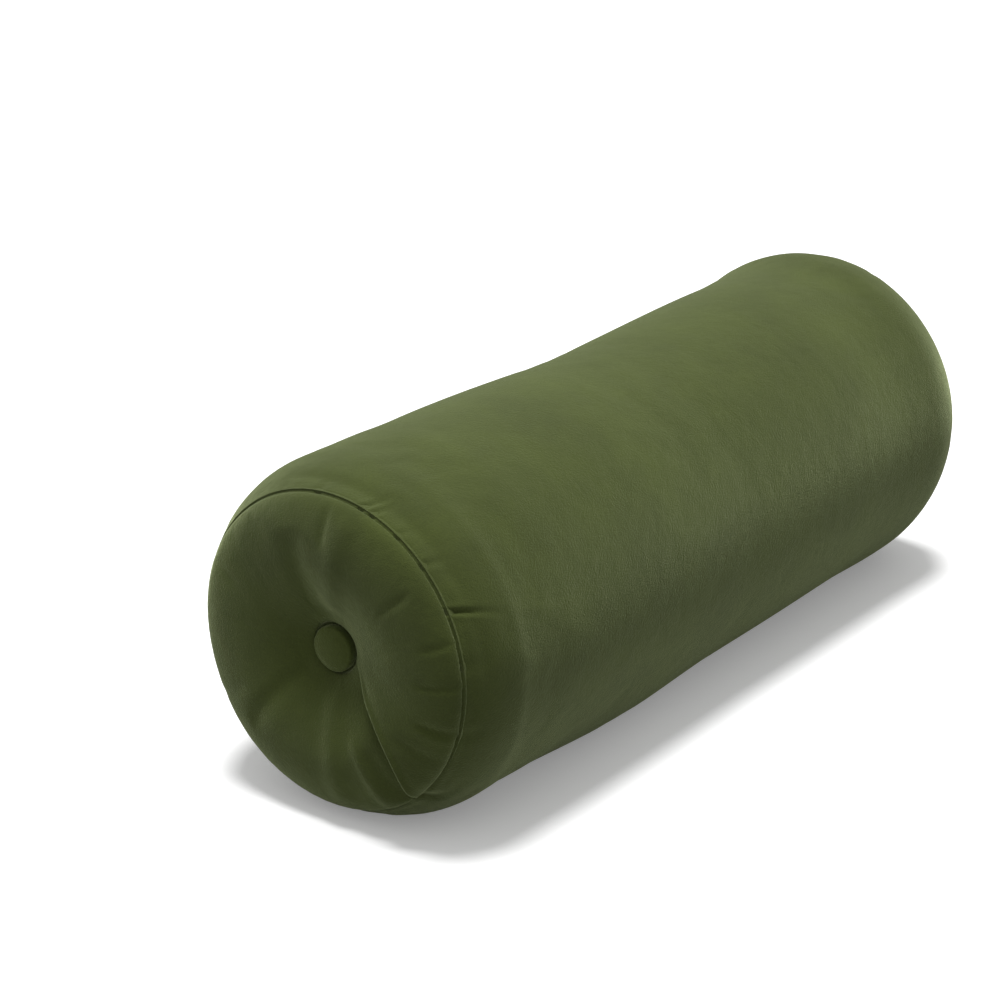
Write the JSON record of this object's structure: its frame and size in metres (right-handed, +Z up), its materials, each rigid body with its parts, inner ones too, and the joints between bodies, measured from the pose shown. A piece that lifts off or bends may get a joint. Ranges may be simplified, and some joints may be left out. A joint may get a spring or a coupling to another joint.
{
  "type": "bolster pillow",
  "caption": "Cylindrical velvet bolster pillow with tufted round ends, covered end buttons and a zipped cover over a wadded foam core.",
  "frame": {"origin": "centre of the settled underside, midway between the two end seams", "axes": "+X along the bolster from the near end to the far end, +Y towards the zip at the back, +Z up"},
  "size_m": [0.532, 0.2035, 0.194],
  "materials": {
    "velvet": "short olive-green velvet pile",
    "sewing_thread": "polyester thread, olive green",
    "button_metal": "pressed sheet",
    "button_wire": "bright wire",
    "waxed_twine": "waxed nylon twine",
    "zip_tape": "woven polyester tape",
    "zip_coil": "nylon monofilament coil",
    "zip_metal": "aged brass plate on die casting",
    "cotton_liner": "unbleached cotton",
    "wadding": "polyester wadding",
    "foam": "open-cell polyurethane foam"
  },
  "bodies": {
    "pillow": {"cover_tube": "velvet", "end_panel_near": "velvet", "end_panel_far": "velvet", "seam_thread_near": "sewing_thread", "seam_thread_far": "sewing_thread", "tufting_twine": "waxed_twine", "zip_tape_upper": "zip_tape", "zip_tape_lower": "zip_tape", "zip_coil_upper": "zip_coil", "zip_coil_lower": "zip_coil", "zip_top_stops": "zip_metal", "zip_bottom_stop": "zip_metal", "zip_thread": "sewing_thread", "liner_tube": "cotton_liner", "liner_end_near": "cotton_liner", "liner_end_far": "cotton_liner", "wadding_wrap": "wadding", "wadding_end_near": "wadding", "wadding_end_far": "wadding", "foam_core": "foam"},
    "near_button": {"button_cloth_near": "velvet", "button_shell_near": "button_metal", "button_back_near": "button_metal", "button_loop_near": "button_wire"},
    "far_button": {"button_cloth_far": "velvet", "button_shell_far": "button_metal", "button_back_far": "button_metal", "button_loop_far": "button_wire"},
    "slider": {"zip_slider": "zip_metal"},
    "pull": {"zip_pull": "zip_metal"}
  },
  "joints": [
    {"name": "near_button_turn", "type": "hinge", "parent": "pillow", "child": "near_button", "pos_m": [-0.252, 0, 0.094], "axis": [-1, 0, 0], "range_deg": [-45, 45]},
    {"name": "far_button_turn", "type": "hinge", "parent": "pillow", "child": "far_button", "pos_m": [0.252, 0, 0.094], "axis": [1, 0, 0], "range_deg": [-45, 45]},
    {"name": "zip_travel", "type": "slide", "parent": "pillow", "child": "slider", "axis": [-1, 0, 0], "range_m": [0, 0.352]},
    {"name": "pull_swing", "type": "hinge", "parent": "slider", "child": "pull", "pos_m": [0.176, 0.10155, 0.094], "axis": [0, 0, -1], "range_deg": [0, 175]}
  ]
}
